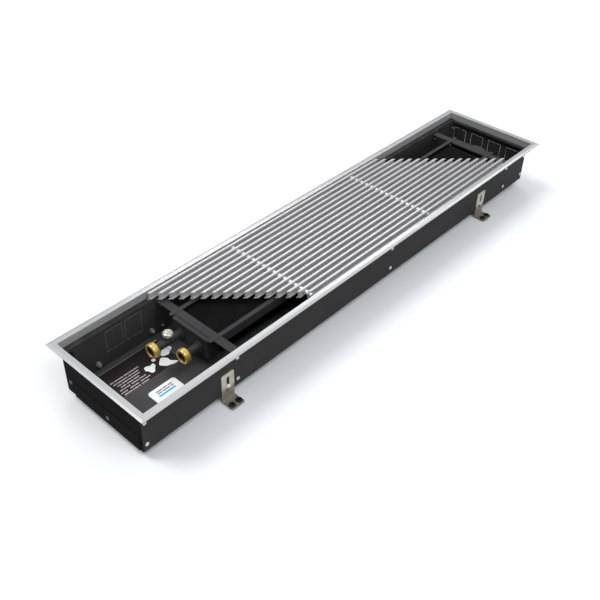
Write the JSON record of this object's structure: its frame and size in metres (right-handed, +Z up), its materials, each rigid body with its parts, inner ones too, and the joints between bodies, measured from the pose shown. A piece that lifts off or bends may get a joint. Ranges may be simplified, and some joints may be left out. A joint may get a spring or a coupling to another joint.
{
  "type": "trench convector heater",
  "caption": "Long sheet-metal floor trench with a finned water convector, brass connections, bright edge frame, linear lift-out grille and height-adjustable feet.",
  "frame": {"origin": "centre of the footprint at the floor, under the rubber of the feet", "axes": "+X along the length toward the end without connections, +Y toward the back long wall with the knock-out panels, +Z up toward the grille"},
  "size_m": [1.1, 0.2404, 0.107],
  "materials": {
    "tray_paint": "anthracite powder coat, fine texture, satin",
    "wall_paint": "anthracite powder coat, satin",
    "bridge_paint": "anthracite powder coat, satin",
    "fin_paint": "aluminium fins with a matt black coating",
    "tube_paint": null,
    "frame_metal": "natural anodised, fine brushed",
    "grille_metal": "natural anodised, satin",
    "brass": "turned, polished",
    "nickel": "nickel plate, satin",
    "steel": "zinc-plated sheet, dull",
    "screw_zinc": "bright zinc plate",
    "damper_rubber": "matt black rubber",
    "strip_rubber": "dark grey soft strip",
    "film": "dark printed film with a thin pale border",
    "label": "white self-adhesive film, blank"
  },
  "bodies": {
    "trench": {"tray": "tray_paint", "near_end_wall": "wall_paint", "far_end_wall": "wall_paint", "frame_front": "frame_metal", "frame_back": "frame_metal", "frame_near": "frame_metal", "frame_far": "frame_metal", "corner_keys": "steel", "seat_strips": "strip_rubber", "near_crossbar": "bridge_paint", "middle_crossbar": "bridge_paint", "far_crossbar": "bridge_paint", "front_shaft_plate": "bridge_paint", "back_shaft_plate": "bridge_paint", "near_end_cover": "bridge_paint", "far_end_cover": "bridge_paint", "fin_pack": "fin_paint", "flow_tube": "tube_paint", "return_tube": "tube_paint", "return_bend": "tube_paint", "flow_socket": "brass", "return_socket": "brass", "vent_boss": "tube_paint", "vent_body": "nickel", "clamp_screws": "screw_zinc", "clamp_nuts": "screw_zinc", "wall_screws": "screw_zinc", "end_screws": "screw_zinc", "earth_stud": "screw_zinc", "info_film": "film", "write_on_label": "label"},
    "grille": {"grille_bars": "grille_metal", "grille_rods": "grille_metal", "grille_spacers": "grille_metal"},
    "vent_screw": {"vent_screw": "nickel"},
    "foot_front_near": {"bracket_front_near": "steel", "dampers_front_near": "damper_rubber"},
    "foot_front_far": {"bracket_front_far": "steel", "dampers_front_far": "damper_rubber"},
    "foot_back_near": {"bracket_back_near": "steel", "dampers_back_near": "damper_rubber"},
    "foot_back_far": {"bracket_back_far": "steel", "dampers_back_far": "damper_rubber"}
  },
  "joints": [
    {"name": "grille_lift", "type": "slide", "parent": "trench", "child": "grille", "axis": [0, 0, 1], "range_m": [0, 0.12]},
    {"name": "vent_turn", "type": "hinge", "parent": "trench", "child": "vent_screw", "pos_m": [-0.387, 0.0225, 0.08], "axis": [0, 0, 1], "range_deg": [0, 360]},
    {"name": "foot_height_front_near", "type": "slide", "parent": "trench", "child": "foot_front_near", "axis": [0, 0, 1], "range_m": [-0.017, 0.008]},
    {"name": "foot_height_front_far", "type": "slide", "parent": "trench", "child": "foot_front_far", "axis": [0, 0, 1], "range_m": [-0.017, 0.008]},
    {"name": "foot_height_back_near", "type": "slide", "parent": "trench", "child": "foot_back_near", "axis": [0, 0, 1], "range_m": [-0.017, 0.008]},
    {"name": "foot_height_back_far", "type": "slide", "parent": "trench", "child": "foot_back_far", "axis": [0, 0, 1], "range_m": [-0.017, 0.008]}
  ]
}
